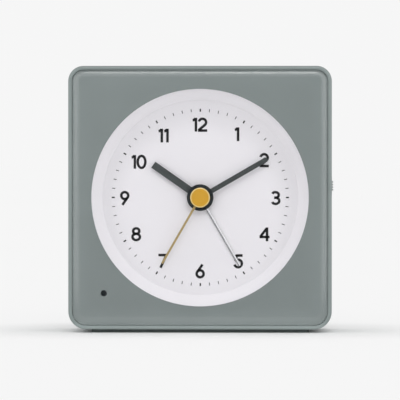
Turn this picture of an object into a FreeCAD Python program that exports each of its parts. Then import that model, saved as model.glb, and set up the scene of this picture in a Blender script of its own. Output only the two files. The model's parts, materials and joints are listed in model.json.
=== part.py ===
# Square table alarm clock: four hands, a snooze bar on top, an alarm switch at the side.
# Millimetres. X to the right, Y to the back, Z up. The origin is on the table, under the middle.
import FreeCAD
import Part
import math
import os

# Clearances that several pieces share
overrun = 1.0
pressed = 0.02
running = 0.05
loose = 0.25
soft_gap = 0.3
quarter_turn = 90.0

# Housing
case_width = 95.0
case_height = 95.0
housing_depth = 38.0
seam_depth = 13.0
top_corner = 5.5
bottom_corner = 6.5
wall = 2.0
rim_width = 1.35
rim_drop = 0.6
rim_round = 0.7
seam_bevel = 0.3
back_taper = 0.8
back_round = 3.5
inner_round = 1.5
round_steps = 4
lip_gap = 0.1
lip_thickness = 1.0
lip_depth = 2.0
lip_root = 1.5

# Feet
foot_height = 1.2
foot_inset = 8.25
foot_width = 6.0
foot_corner = 1.5
foot_recess = 0.9
front_foot_depth = 6.5
rear_foot_depth = 31.0

# Clear front and the painted face behind it
lens_gap = 0.15
lens_thickness = 2.2
lens_roll_width = 3.2
lens_roll_depth = 1.1
lens_roll_steps = 6
mask_thickness = 0.6
face_margin = 8.3
panel_thickness = 1.6
sensor_inset = 12.8
sensor_rise = 13.0
sensor_radius = 1.05
sensor_hole = 1.15
sensor_body_radius = 1.6
sensor_body_length = 2.4

# Dial and the white ring round it
ring_step = 0.4
ring_slope = 4.3
ring_depth = 4.6
ring_wall = 1.0
ring_flange = 1.9
ring_flange_thickness = 1.2
dial_overlap = 1.0
dial_thickness = 0.6
dial_rebate_wall = 1.2
lamp_width = 2.4
lamp_height = 1.4
lamp_thickness = 1.1
lamp_angles = (50.0, 130.0)

# Hands, with their lengths as shares of the dial's radius and their clock angles at rest
hand_gap = 0.5
alarm_hand_lift = 0.6
alarm_hand_share = 0.8074
alarm_hand_width = 0.9
alarm_hand_thickness = 0.3
alarm_hand_edge = 0.1
alarm_hand_hub = 3.6
alarm_hand_angle = 150.0
hour_hand_share = 0.5864
hour_hand_width = 2.6
hour_hand_thickness = 0.35
hour_hand_hub = 4.4
hour_hand_angle = 305.0
minute_hand_share = 0.796
minute_hand_width = 1.75
minute_hand_thickness = 0.35
minute_hand_hub = 4.8
minute_hand_angle = 60.0
seconds_hand_share = 0.779
seconds_hand_width = 0.8
seconds_hand_thickness = 0.25
seconds_hand_hub = 2.2
seconds_hand_angle = 210.0
cap_radius = 3.6
cap_height = 1.0
cap_bevel = 0.4
cap_bore_depth = 0.5

# Arbors and pipes, one inside the other
arbor_radius = 0.4
minute_tube_radius = 0.9
hour_pipe_radius = 1.5
alarm_pipe_radius = 2.2
bush_radius = 3.2
nut_radius = 4.4
nut_thickness = 0.45
nut_flat_drop = 0.6
pivot_radius = 0.35
pivot_depth = 0.7
knob_shaft_radius = 1.2

# Teeth, as shares of the module and of one tooth's pitch
root_share = 1.2
tip_share = 0.8
root_width_share = 0.235
tip_width_share = 0.095

# Wheels: teeth, and centre distances as shares of the movement's width and of the room below
wheel_thickness = 0.7
level_gap = 0.3
train_gap = 0.4
knob_distance_share = 0.24
third_distance_share = 0.216
fifth_distance_share = 0.368421
rotor_distance_share = 0.368421
cannon_teeth = 12
motion_teeth = 36
motion_pinion_teeth = 10
hour_teeth = 40
alarm_pinion_teeth = 12
alarm_teeth = 36
train_pinion_teeth = 8
centre_teeth = 64
third_teeth = 60
seconds_teeth = 40
fifth_teeth = 48
spoke_count = 4
spoke_width = 1.6
wheel_rim = 1.5
wheel_hub = 2.2

# Movement
plate_width = 50.0
plate_rise_share = 0.45
bay_clearance = 1.1
plate_corner = 3.0
plate_thickness = 1.2
middle_inset = 2.4
middle_thickness = 0.8
cover_wall = 1.2
cover_room = 1.3
pillar_radius = 1.7
pillar_inset_x = 4.2
pillar_inset_z = 3.6
movement_screw_radius = 0.8
movement_screw_head = 1.5
movement_screw_head_height = 0.9
movement_screw_grip = 2.0
bridge_half_width = 13.5
bridge_reach = 4.5
bridge_overlap = 2.2
bridge_pillar_radius = 1.2
magnet_length = 2.0
magnet_gap = 0.5
stator_thickness = 1.0
stator_gap = 0.7
bobbin_end_gap = 0.4
board_thickness = 0.8
board_gap = 1.7
board_inset = 6.0
board_top_share = 0.4167
board_bottom_share = 0.7456
board_room = 1.2
board_boss_radius = 1.3
board_boss_inset = 2.0
chip_share = 0.305
chip_thickness = 1.0
crystal_radius = 1.0
crystal_share = 0.72

# Motor sizes, as shares of the distance from the rotor to the fifth wheel
magnet_share = 0.36
stator_hole_share = 0.405
stator_width_share = 0.655
stator_up_share = 0.62
stator_down_share = 0.58
stator_strip_share = 0.24
stator_boss_share = 0.14
stator_boss_inset_share = 0.155
bobbin_flange_share = 0.19
bobbin_wall_share = 0.06
bobbin_end_share = 0.07
winding_drop_share = 0.036

# Battery bay and door
battery_radius = 7.25
battery_length = 49.2
battery_nub_radius = 2.75
battery_nub_length = 1.3
battery_edge = 0.6
battery_rise = 13.4
bay_wall = 1.4
bay_side_gap = 0.35
contact_thickness = 0.4
contact_width = 9.0
contact_height = 10.0
contact_spring_reach = 1.1
contact_spring_width = 4.0
door_thickness = 1.2
door_overlap = 1.5
door_gap = 0.15
door_swing_gap = 0.25
door_corner = 1.5
door_rebate_corner = 0.2
door_lug_width = 6.0
door_lug_length = 1.6
door_lug_height = 1.4
door_lug_x = 20.0
door_grip_width = 12.0
door_grip_height = 2.4
door_grip_depth = 0.5
door_grip_count = 3
door_grip_pitch = 1.5
door_grip_bar = 0.6

# Knobs on the back
knob_radius = 6.5
knob_standout = 4.0
knob_crown = 0.8
knob_crown_bevel = 0.5
knob_tooth_depth = 0.5
knob_teeth = 28
knob_tooth_root_share = 0.36
knob_tooth_tip_share = 0.2
knob_bore_floor = 1.4
well_radius = 8.2
well_depth = 2.6
well_floor = 1.6
well_gap = 0.4

# Screws through the back
post_inset = 9.3
post_radius = 3.0
boss_radius = 3.7
case_screw_radius = 1.25
case_screw_head = 2.3
case_screw_head_height = 1.8
case_screw_recess = 12.0
case_screw_grip = 7.0
case_screw_slack = 0.15
case_screw_head_gap = 0.25

# Snooze bar, its switch and its board
snooze_inset = 13.5
snooze_width = 15.0
snooze_corner = 3.0
snooze_edge = 0.6
snooze_setback = 16.5
snooze_sink = 0.2
snooze_height = 3.4
snooze_flange = 1.2
snooze_flange_thickness = 1.1
snooze_flange_drop = 0.6
snooze_travel = 0.8
snooze_stop_gap = 0.1
snooze_stem_radius = 2.0
snooze_stem_length = 1.4
switch_size = 6.0
switch_height = 3.4
plunger_radius = 1.7
plunger_height = 1.3
shelf_width = 2.0
shelf_height = 3.0
main_board_length = 34.0
main_board_width = 13.0
main_board_thickness = 1.6

# Alarm switch in the right wall
slider_lift = 4.0
slider_travel = 4.0
slider_height = 7.0
slider_width = 5.0
slider_corner = 0.8
slider_stand = 0.1
slider_depth = 22.5
slider_thickness = 2.6
slider_flange = 1.0
slider_flange_thickness = 0.9
rib_count = 4
rib_pitch = 0.95
rib_width = 0.45
rib_height = 0.45
slider_base_thickness = 2.6
slider_base_height = 17.0
slider_base_width = 8.0
slider_base_leg = 1.6
slider_wall_gap = 0.1

# Speaker behind the slots in the back
speaker_rise = 26.0
speaker_radius = 10.0
speaker_thickness = 1.8
speaker_ring_wall = 1.0
grille_radius = 8.6
grille_slot = 1.2
grille_pitch = 2.6
grille_count = 5

# Places that follow from the sizes, front to back
front_y = -(housing_depth + knob_standout) / 2
back_y = front_y + housing_depth
seam_y = front_y + seam_depth
rim_y = front_y + rim_drop
lens_back = front_y + lens_thickness
mask_back = lens_back + mask_thickness
panel_back = mask_back + panel_thickness
dial_front = mask_back + ring_depth
dial_back = dial_front + dial_thickness
plate_back = dial_back + plate_thickness
alarm_level = plate_back + level_gap
hour_level = alarm_level + wheel_thickness + level_gap
motion_level = hour_level + wheel_thickness + level_gap
middle_front = motion_level + wheel_thickness + level_gap
middle_back = middle_front + middle_thickness
centre_level = middle_back + level_gap
third_level = centre_level + wheel_thickness + train_gap
seconds_level = third_level + wheel_thickness + train_gap
fifth_level = seconds_level + wheel_thickness + train_gap
magnet_level = fifth_level + wheel_thickness + magnet_gap
cover_inner = magnet_level + magnet_length + cover_room
cover_back = cover_inner + cover_wall
alarm_hand_front = dial_front - alarm_hand_lift - alarm_hand_thickness
hour_hand_front = alarm_hand_front - hand_gap - hour_hand_thickness
minute_hand_front = hour_hand_front - hand_gap - minute_hand_thickness
seconds_hand_front = minute_hand_front - hand_gap - seconds_hand_thickness
cap_front = seconds_hand_front - cap_height

# Places that follow from the sizes, across and up
case_top = foot_height + case_height
dial_z = foot_height + case_height / 2
foot_length = case_width - 2 * foot_inset
window_radius = min(case_width, case_height) / 2 - face_margin
ring_front_radius = window_radius + ring_step
ring_back_radius = ring_front_radius - ring_slope
sensor_x = sensor_inset - case_width / 2
sensor_z = foot_height + sensor_rise
alarm_hand_length = alarm_hand_share * ring_back_radius
hour_hand_length = hour_hand_share * ring_back_radius
minute_hand_length = minute_hand_share * ring_back_radius
seconds_hand_length = seconds_hand_share * ring_back_radius
knob_inner_y = back_y - well_depth + well_gap
knob_end_y = back_y + knob_standout
well_floor_y = back_y - well_depth
back_inner = back_y - wall
door_inner_y = back_y - door_thickness
battery_y = door_inner_y - soft_gap - battery_radius
battery_z = foot_height + battery_rise
bay_floor = battery_y - battery_radius - soft_gap
bay_half_length = battery_length / 2 + battery_nub_length + contact_thickness
bay_bottom = battery_z - battery_radius - bay_side_gap
bay_top = battery_z + battery_radius + bay_side_gap
snooze_length = case_width - 2 * snooze_inset
snooze_y = front_y + snooze_setback + snooze_width / 2
snooze_top = case_top - snooze_sink
snooze_bottom = snooze_top - snooze_height
stem_end = snooze_bottom - snooze_flange_drop - snooze_stem_length
plunger_top = stem_end - snooze_travel - snooze_stop_gap
main_board_top = plunger_top - plunger_height - switch_height
slider_y = front_y + slider_depth
speaker_z = dial_z + speaker_rise
screw_seat_y = back_y - case_screw_recess
door_low = bay_bottom - door_overlap
door_high = bay_top + door_overlap
door_axis_y = back_y - door_thickness / 2
door_axis_z = door_low + door_thickness / 2

# Movement sizes that follow from its width and from the room above the battery bay
plate_rise = plate_rise_share * plate_width
plate_fall = dial_z - bay_top - bay_wall - bay_clearance
train_room = plate_fall - cover_wall
knob_distance = knob_distance_share * plate_width
third_distance = third_distance_share * plate_width
fifth_distance = fifth_distance_share * train_room
rotor_distance = rotor_distance_share * train_room
third_z = dial_z + third_distance
fifth_z = dial_z - fifth_distance
rotor_z = fifth_z - rotor_distance
magnet_radius = magnet_share * rotor_distance
stator_hole = stator_hole_share * rotor_distance
stator_half_width = stator_width_share * rotor_distance
stator_up = stator_up_share * rotor_distance
stator_down = stator_down_share * rotor_distance
stator_strip = stator_strip_share * rotor_distance
stator_reach = plate_width / 2 - pillar_inset_x - pillar_radius - stator_gap
stator_boss_radius = stator_boss_share * rotor_distance
stator_boss_inset = stator_boss_inset_share * rotor_distance
bobbin_flange = bobbin_flange_share * rotor_distance
bobbin_wall = bobbin_wall_share * rotor_distance
bobbin_flange_thickness = bobbin_end_share * rotor_distance
winding_drop = winding_drop_share * rotor_distance
board_left = stator_half_width + board_gap
board_right = plate_width / 2 - board_inset
board_top = board_top_share * train_room
board_bottom = board_bottom_share * train_room
chip_size = chip_share * (board_right - board_left)
crystal_length = crystal_share * (board_bottom - board_top)


def spot(x, y, z):
    return FreeCAD.Vector(x, y, z)


def block(x_from, x_to, y_from, y_to, z_from, z_to):
    """A box between two corners."""
    return Part.makeBox(x_to - x_from, y_to - y_from, z_to - z_from, spot(x_from, y_from, z_from))


def rod(x, z, radius, y_from, y_to):
    """A cylinder that runs from front to back."""
    return Part.makeCylinder(radius, y_to - y_from, spot(x, y_from, z), spot(0, 1, 0))


def pipe(x, z, outer, inner, y_from, y_to):
    """A rod with a bore right through it."""
    return rod(x, z, outer, y_from, y_to).cut(rod(x, z, inner, y_from - overrun, y_to + overrun))


def corner_arc(x, z, radius, start, y):
    """A quarter circle about x, z that begins at the start angle."""
    ends = [spot(x + radius * math.cos(math.radians(a)), y, z + radius * math.sin(math.radians(a)))
            for a in (start, start + quarter_turn / 2, start + quarter_turn)]
    return Part.Arc(ends[0], ends[1], ends[2]).toShape()


def rounded_wire(x_low, x_high, z_low, z_high, low_radius, high_radius, y):
    """A rounded rectangle that faces the front, with its own radius above and below."""
    arcs = [
        corner_arc(x_high - low_radius, z_low + low_radius, low_radius, -quarter_turn, y),
        corner_arc(x_high - high_radius, z_high - high_radius, high_radius, 0, y),
        corner_arc(x_low + high_radius, z_high - high_radius, high_radius, quarter_turn, y),
        corner_arc(x_low + low_radius, z_low + low_radius, low_radius, 2 * quarter_turn, y),
    ]
    edges = []
    for number, arc in enumerate(arcs):
        follower = arcs[(number + 1) % len(arcs)]
        edges.append(arc)
        edges.append(Part.makeLine(arc.Vertexes[-1].Point, follower.Vertexes[0].Point))
    return Part.Wire(edges)


def rounded_plate(x_low, x_high, z_low, z_high, radius, y_from, y_to):
    """A flat plate with four like corners."""
    wire = rounded_wire(x_low, x_high, z_low, z_high, radius, radius, y_from)
    return Part.Face(wire).extrude(spot(0, y_to - y_from, 0))


def case_wire(inset, y):
    """The housing's outline, drawn in by the inset."""
    half = case_width / 2 - inset
    return rounded_wire(-half, half, foot_height + inset, case_top - inset,
                        bottom_corner - inset, top_corner - inset, y)


def case_prism(inset, y_from, y_to):
    return Part.Face(case_wire(inset, y_from)).extrude(spot(0, y_to - y_from, 0))


def case_stack(levels):
    """A solid through the housing's outline at each inset and depth."""
    return Part.makeLoft([case_wire(inset, y) for inset, y in levels], True, True)


def quarter_round(width, depth, steps):
    """Pairs of inset and depth along a quarter ellipse, from its flat end to its steep end."""
    angles = [math.pi / 2 * step / steps for step in range(steps + 1)]
    return [(width * (1 - math.sin(a)), depth * (1 - math.cos(a))) for a in angles]


def turned(points, x, z):
    """A solid of revolution about an axis from front to back. Points are radius and depth."""
    corners = [spot(x + radius, y, z) for radius, y in points]
    face = Part.Face(Part.makePolygon(corners + corners[:1]))
    return face.revolve(spot(x, 0, z), spot(0, 1, 0), 360)


def toothed(x, z, teeth, root, tip, root_half_share, tip_half_share, turn, y_from, y_to):
    """A plate with straight-sided teeth all round. The first tooth points at the turn angle."""
    pitch = 2 * math.pi / teeth
    flanks = ((root, -root_half_share), (tip, -tip_half_share),
              (tip, tip_half_share), (root, root_half_share))
    corners = []
    for number in range(teeth):
        middle = math.radians(turn) + number * pitch
        for radius, share in flanks:
            angle = middle + share * pitch
            corners.append(spot(x + radius * math.cos(angle), y_from, z + radius * math.sin(angle)))
    face = Part.Face(Part.makePolygon(corners + corners[:1]))
    return face.extrude(spot(0, y_to - y_from, 0))


def gear(x, z, teeth, module, turn, y_from, y_to):
    """A gear whose first tooth points at the turn angle, counted from X towards Z."""
    root = module * (teeth / 2 - root_share)
    tip = module * (teeth / 2 + tip_share)
    return toothed(x, z, teeth, root, tip, root_width_share, tip_width_share, turn, y_from, y_to)


def gap_turn(teeth, towards):
    """The turn that puts a gap between teeth at the given angle."""
    return towards + 180 / teeth


def module_for(distance, first_teeth, second_teeth):
    return 2 * distance / (first_teeth + second_teeth)


def spoked(wheel, x, z, root_radius, y_from):
    """The wheel with the web between its spokes cut away."""
    reach = root_radius - wheel_rim
    web = pipe(x, z, reach, wheel_hub, y_from - overrun, y_from + wheel_thickness + overrun)
    for number in range(spoke_count // 2):
        arm = block(x - reach - overrun, x + reach + overrun, y_from - 2 * overrun,
                    y_from + wheel_thickness + 2 * overrun, z - spoke_width / 2, z + spoke_width / 2)
        arm.rotate(spot(x, 0, z), spot(0, 1, 0), 45 + 360 / spoke_count * number)
        web = web.cut(arm)
    return wheel.cut(web)


def joined(first, others):
    return first.multiFuse(others).removeSplitter()


def screw_spots():
    """The four corners where the housing is screwed together."""
    reach = case_width / 2 - post_inset
    rise = case_height / 2 - post_inset
    return [(x, dial_z + z) for x in (-reach, reach) for z in (-rise, rise)]


def pillar_spots():
    """The four corners where the movement is screwed together."""
    reach = plate_width / 2 - pillar_inset_x
    return [(x, z) for x in (-reach, reach)
            for z in (dial_z - plate_fall + pillar_inset_z, dial_z + plate_rise - pillar_inset_z)]


def foot_plate(middle_y):
    """One foot strip, from the table up into its recess."""
    wire = rounded_wire(-foot_length / 2, foot_length / 2, -foot_width / 2, foot_width / 2,
                        foot_corner, foot_corner, 0)
    strip = Part.Face(wire).extrude(spot(0, foot_height + foot_recess, 0))
    strip.rotate(spot(0, 0, 0), spot(1, 0, 0), 90)
    strip.translate(spot(0, middle_y, 0))
    return strip


def foot_places():
    return (front_y + front_foot_depth, front_y + rear_foot_depth)


def front_frame():
    """Rim round the clear front, the panel behind it and the posts for the case screws."""
    levels = [(inset, rim_y + depth) for inset, depth in quarter_round(rim_round, rim_round, round_steps)]
    levels += [(0, seam_y - seam_bevel), (seam_bevel, seam_y)]
    body = case_stack(levels)
    body = body.cut(case_prism(rim_width, front_y, mask_back))
    body = body.cut(case_prism(wall, panel_back, seam_y + overrun))
    posts = [rod(x, z, post_radius, panel_back, seam_y) for x, z in screw_spots()]
    body = joined(body, posts)
    ring_outer = ring_front_radius + ring_wall
    body = body.cut(rod(0, dial_z, ring_outer + running, mask_back - overrun, panel_back + overrun))
    for x, z in screw_spots():
        hole = case_screw_radius + pressed
        body = body.cut(rod(x, z, hole, seam_y - case_screw_grip - pressed, seam_y + overrun))
    body = body.cut(rod(sensor_x, sensor_z, sensor_hole, mask_back - overrun, panel_back + overrun))
    return body.cut(foot_plate(foot_places()[0]))


def front_lens():
    """Clear plate with an edge that rolls over to the rim."""
    edge = rim_width + lens_gap
    levels = [(edge + inset, front_y + depth)
              for inset, depth in quarter_round(lens_roll_width, lens_roll_depth, lens_roll_steps)]
    return case_stack(levels + [(edge, lens_back)])


def face_mask():
    """Painted plate with the round window and the sensor's hole."""
    plate = case_prism(rim_width + lens_gap, lens_back, mask_back)
    plate = plate.cut(rod(0, dial_z, window_radius, lens_back - overrun, mask_back + overrun))
    sensor = rod(sensor_x, sensor_z, sensor_hole, lens_back - overrun, mask_back + overrun)
    return plate.cut(sensor)


def dial_ring():
    """Cone from the window down to the dial, with a flange behind the frame's panel."""
    outer = ring_front_radius + ring_wall
    rebate = ring_back_radius + dial_overlap + pressed
    flange_back = panel_back + ring_flange_thickness
    return turned([
        (ring_front_radius, mask_back),
        (outer, mask_back),
        (outer, panel_back),
        (outer + ring_flange, panel_back),
        (outer + ring_flange, flange_back),
        (outer, flange_back),
        (rebate + dial_rebate_wall, dial_back),
        (rebate, dial_back),
        (rebate, dial_front),
        (ring_back_radius, dial_front),
    ], 0, dial_z)


def dial():
    return pipe(0, dial_z, ring_back_radius + dial_overlap, bush_radius + running, dial_front, dial_back)


def light_sensor():
    eye = rod(sensor_x, sensor_z, sensor_radius, lens_back, panel_back)
    body = rod(sensor_x, sensor_z, sensor_body_radius, panel_back, panel_back + sensor_body_length)
    return eye.fuse(body)


def dial_lamps():
    """Two lamps on the back of the ring's flange."""
    radius = ring_front_radius + ring_wall + ring_flange / 2
    lamps = []
    for angle in lamp_angles:
        lamp = block(radius - lamp_height / 2, radius + lamp_height / 2, panel_back + ring_flange_thickness,
                     panel_back + ring_flange_thickness + lamp_thickness, -lamp_width / 2, lamp_width / 2)
        lamp.rotate(spot(0, 0, 0), spot(0, 1, 0), -angle)
        lamp.translate(spot(0, 0, dial_z))
        lamps.append(lamp)
    return Part.makeCompound(lamps)


def rear_shell():
    """Outer skin of the rear case with its lip, before anything is cut through it."""
    rounding = quarter_round(back_round, back_round, round_steps)
    levels = [(seam_bevel, seam_y), (0, seam_y + seam_bevel)]
    levels += [(back_taper + inset, back_y - depth) for inset, depth in reversed(rounding)]
    hollow = [(wall, seam_y - overrun), (wall, seam_y)]
    inner = quarter_round(inner_round, inner_round, round_steps)
    hollow += [(wall + back_taper + inset, back_inner - depth) for inset, depth in reversed(inner)]
    shell = case_stack(levels).cut(case_stack(hollow))
    lip_outer = wall + lip_gap
    lip_inner = lip_outer + lip_thickness
    lip = case_prism(lip_outer, seam_y - lip_depth, seam_y + lip_root)
    root = case_prism(wall - lip_thickness / 2, seam_y, seam_y + lip_root)
    opening = case_prism(lip_inner, seam_y - lip_depth - overrun, seam_y + lip_root + overrun)
    return joined(shell, [lip.fuse(root).cut(opening)])


def bay_box():
    """Walls of the battery bay, open to the back."""
    half = bay_half_length + bay_side_gap
    return block(-half - bay_wall, half + bay_wall, bay_floor - bay_wall, back_inner + pressed,
                 bay_bottom - bay_wall, bay_top + bay_wall)


def bay_space():
    half = bay_half_length + bay_side_gap
    return block(-half, half, bay_floor, back_y + overrun, bay_bottom, bay_top)


def door_rebate():
    """Recess for the door. The gap along the top lets the door's inner edge swing past."""
    half = bay_half_length + bay_side_gap + door_overlap + door_gap
    wire = rounded_wire(-half, half, door_low - door_gap, door_high + door_swing_gap,
                        door_rebate_corner, door_corner, door_inner_y)
    return Part.Face(wire).extrude(spot(0, door_thickness + overrun, 0))


def grille_slots():
    slots = []
    for number in range(grille_count):
        rise = (number - (grille_count - 1) / 2) * grille_pitch
        half = math.sqrt(grille_radius ** 2 - rise ** 2)
        radius = grille_slot / 2 - pressed
        slots.append(rounded_plate(-half, half, speaker_z + rise - grille_slot / 2,
                                   speaker_z + rise + grille_slot / 2, radius,
                                   back_inner - overrun, back_y + overrun))
    return slots


def snooze_outline(grow, y_middle):
    """Top view of the snooze bar, as a wire at height zero."""
    half_length = snooze_length / 2 + grow
    half_width = snooze_width / 2 + grow
    wire = rounded_wire(-half_length, half_length, -half_width, half_width, snooze_corner, snooze_corner, 0)
    wire.rotate(spot(0, 0, 0), spot(1, 0, 0), 90)
    wire.translate(spot(0, y_middle, 0))
    return wire


def snooze_prism(grow, z_from, z_to):
    plate = Part.Face(snooze_outline(grow, snooze_y)).extrude(spot(0, 0, z_to - z_from))
    plate.translate(spot(0, 0, z_from))
    return plate


def wall_x(y):
    """Outer face of the tapered side wall at a depth."""
    run = (y - seam_y) / (back_y - back_round - seam_y)
    return case_width / 2 - back_taper * run


def shelf_places():
    return (-main_board_length / 2 + shelf_width, main_board_length / 2 - shelf_width)


def rear_case():
    """Deep rear shell with bay, wells, bosses, grille and the openings for bar and switch."""
    shell = rear_shell()
    adds = [rod(x, z, boss_radius, seam_y, back_inner + pressed) for x, z in screw_spots()]
    adds += [rod(side * knob_distance, dial_z, well_radius + wall, well_floor_y - well_floor,
                 back_inner + pressed) for side in (-1, 1)]
    adds.append(bay_box())
    adds.append(rod(0, speaker_z, speaker_radius + pressed + speaker_ring_wall,
                    back_inner - speaker_thickness, back_inner + pressed))
    board_under = main_board_top - main_board_thickness
    for x in shelf_places():
        adds.append(block(x - shelf_width / 2, x + shelf_width / 2, snooze_y - main_board_width / 2,
                          back_inner + pressed, board_under - shelf_height, board_under))
    shell = joined(shell, adds)
    cuts = [rod(side * knob_distance, dial_z, well_radius, well_floor_y, back_y + overrun)
            for side in (-1, 1)]
    cuts += [rod(side * knob_distance, dial_z, knob_shaft_radius + running,
                 well_floor_y - well_floor - overrun, well_floor_y + overrun) for side in (-1, 1)]
    for x, z in screw_spots():
        cuts.append(rod(x, z, case_screw_radius + case_screw_slack, seam_y - overrun, back_y + overrun))
        cuts.append(rod(x, z, case_screw_head + case_screw_head_gap, screw_seat_y, back_y + overrun))
    cuts.append(bay_space())
    cuts.append(door_rebate())
    cuts.append(rod(0, speaker_z, speaker_radius + pressed,
                    back_inner - speaker_thickness - overrun, back_inner))
    cuts += grille_slots()
    cuts.append(snooze_prism(loose, snooze_bottom - overrun, case_top + overrun))
    middle = dial_z + slider_lift - slider_travel / 2
    half = (slider_height + slider_travel) / 2
    cuts.append(side_plate(loose, case_width / 2 - 2 * wall - overrun, case_width / 2 + overrun,
                           middle - half, middle + half))
    cuts.append(foot_plate(foot_places()[1]))
    for cut in cuts:
        shell = shell.cut(cut)
    return shell


def side_plate(grow, x_from, x_to, z_low, z_high):
    """A rounded plate in the right wall, its thickness along X."""
    wire = rounded_wire(-slider_width / 2 - grow, slider_width / 2 + grow, z_low - grow, z_high + grow,
                        slider_corner, slider_corner, 0)
    wire.rotate(spot(0, 0, 0), spot(0, 0, 1), 90)
    plate = Part.Face(wire).extrude(spot(x_to - x_from, 0, 0))
    plate.translate(spot(x_from, slider_y, 0))
    return plate


def case_screws():
    screws = []
    for x, z in screw_spots():
        shank = rod(x, z, case_screw_radius, seam_y - case_screw_grip, screw_seat_y)
        head = rod(x, z, case_screw_head, screw_seat_y, screw_seat_y + case_screw_head_height)
        screws.append(shank.fuse(head))
    return Part.makeCompound(screws)


def rubber_feet():
    return Part.makeCompound([foot_plate(y) for y in foot_places()])


def battery():
    """One AA cell lying along X, its nub to the right."""
    body = Part.makeCylinder(battery_radius, battery_length,
                             spot(-battery_length / 2, battery_y, battery_z), spot(1, 0, 0))
    body = body.makeChamfer(battery_edge, body.Edges[:1] + body.Edges[2:])
    nub = Part.makeCylinder(battery_nub_radius, battery_nub_length,
                            spot(battery_length / 2, battery_y, battery_z), spot(1, 0, 0))
    return body.fuse(nub)


def contact_plate(x_from):
    half_width = contact_width / 2
    half_height = contact_height / 2
    return block(x_from, x_from + contact_thickness, battery_y - half_width, battery_y + half_width,
                 battery_z - half_height, battery_z + half_height)


def positive_contact():
    wall_face = bay_half_length + bay_side_gap
    plate = contact_plate(wall_face - contact_thickness)
    button = Part.makeCylinder(battery_nub_radius, bay_side_gap - pressed,
                               spot(bay_half_length - contact_thickness + pressed, battery_y, battery_z),
                               spot(1, 0, 0))
    return plate.fuse(button)


def negative_contact():
    """Plate with a bent leaf that presses on the flat end of the cell."""
    wall_face = -bay_half_length - bay_side_gap
    plate = contact_plate(wall_face)
    root = wall_face + contact_thickness
    top = battery_z + contact_height / 2
    bottom = battery_z - contact_height / 2
    tip = root + contact_spring_reach
    corners = [(root, top), (tip + contact_thickness, battery_z + contact_thickness),
               (tip + contact_thickness, battery_z - contact_thickness), (root, bottom),
               (root, bottom + contact_thickness), (tip, battery_z), (root, top - contact_thickness)]
    points = [spot(x, battery_y - contact_spring_width / 2, z) for x, z in corners]
    leaf = Part.Face(Part.makePolygon(points + points[:1])).extrude(spot(0, contact_spring_width, 0))
    return plate.fuse(leaf)


def battery_door():
    """Door that tilts on its round lower edge, with two lugs and a ribbed grip along the top."""
    half = bay_half_length + bay_side_gap + door_overlap
    plate = rounded_plate(-half, half, door_low - 2 * door_corner, door_high, door_corner,
                          door_inner_y, back_y)
    plate = plate.common(block(-half, half, door_inner_y, back_y, door_axis_z, door_high))
    edge = Part.makeCylinder(door_thickness / 2, 2 * half, spot(-half, door_axis_y, door_axis_z),
                             spot(1, 0, 0))
    lug_bottom = bay_bottom + door_gap
    lugs = [block(side * door_lug_x - door_lug_width / 2, side * door_lug_x + door_lug_width / 2,
                  door_inner_y - door_lug_length, door_inner_y, lug_bottom, lug_bottom + door_lug_height)
            for side in (-1, 1)]
    plate = joined(plate, [edge] + lugs)
    for number in range(door_grip_count):
        z = door_high - door_grip_height - number * door_grip_pitch
        plate = plate.cut(block(-door_grip_width / 2, door_grip_width / 2, back_y - door_grip_depth,
                                back_y + overrun, z - door_grip_bar / 2, z + door_grip_bar / 2))
    return plate


def movement_plate_outline(inset, y_from, y_to):
    half = plate_width / 2 - inset
    return rounded_plate(-half, half, dial_z - plate_fall + inset, dial_z + plate_rise - inset,
                         plate_corner - min(inset, plate_corner / 2), y_from, y_to)


def movement_front_plate():
    """Plate against the dial with four pillars behind it."""
    plate = movement_plate_outline(0, dial_back, plate_back)
    pillars = [rod(x, z, pillar_radius, plate_back, middle_front) for x, z in pillar_spots()]
    plate = joined(plate, pillars)
    plate = plate.cut(rod(0, dial_z, bush_radius + pressed, dial_back - overrun, plate_back + overrun))
    for x, z in pillar_spots():
        plate = plate.cut(rod(x, z, movement_screw_radius + pressed,
                              middle_front - movement_screw_grip, middle_front + overrun))
    for side in (-1, 1):
        plate = plate.cut(rod(side * knob_distance, dial_z, pivot_radius + running,
                              plate_back - pivot_depth, plate_back + overrun))
    return plate


def movement_middle_plate():
    """Inner plate between the hand wheels and the seconds train, with pillars for the bridge."""
    plate = movement_plate_outline(middle_inset, middle_front, middle_back)
    pillars = [rod(x, z, bridge_pillar_radius, middle_back, third_level) for x, z in bridge_spots()]
    plate = joined(plate, pillars)
    holes = [(0, dial_z, minute_tube_radius), (-knob_distance, dial_z, knob_shaft_radius),
             (knob_distance, dial_z, knob_shaft_radius), (0, third_z, pivot_radius)]
    holes += [(x, z, movement_screw_radius) for x, z in pillar_spots()]
    for x, z, radius in holes:
        plate = plate.cut(rod(x, z, radius + running, middle_front - overrun, middle_back + overrun))
    return plate


def bridge_spots():
    reach = bridge_half_width - bridge_overlap
    return [(side * reach, (fifth_z + rotor_z) / 2) for side in (-1, 1)]


def train_bridge():
    """Small bridge that carries the front pivots of the fifth wheel and the rotor."""
    bridge = rounded_plate(-bridge_half_width, bridge_half_width, rotor_z - bridge_reach / 2,
                           fifth_z + bridge_overlap, bridge_overlap - pressed,
                           third_level, third_level + wheel_thickness)
    for z in (fifth_z, rotor_z):
        bridge = bridge.cut(rod(0, z, pivot_radius + running, third_level - overrun,
                                third_level + wheel_thickness + overrun))
    return bridge


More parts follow.
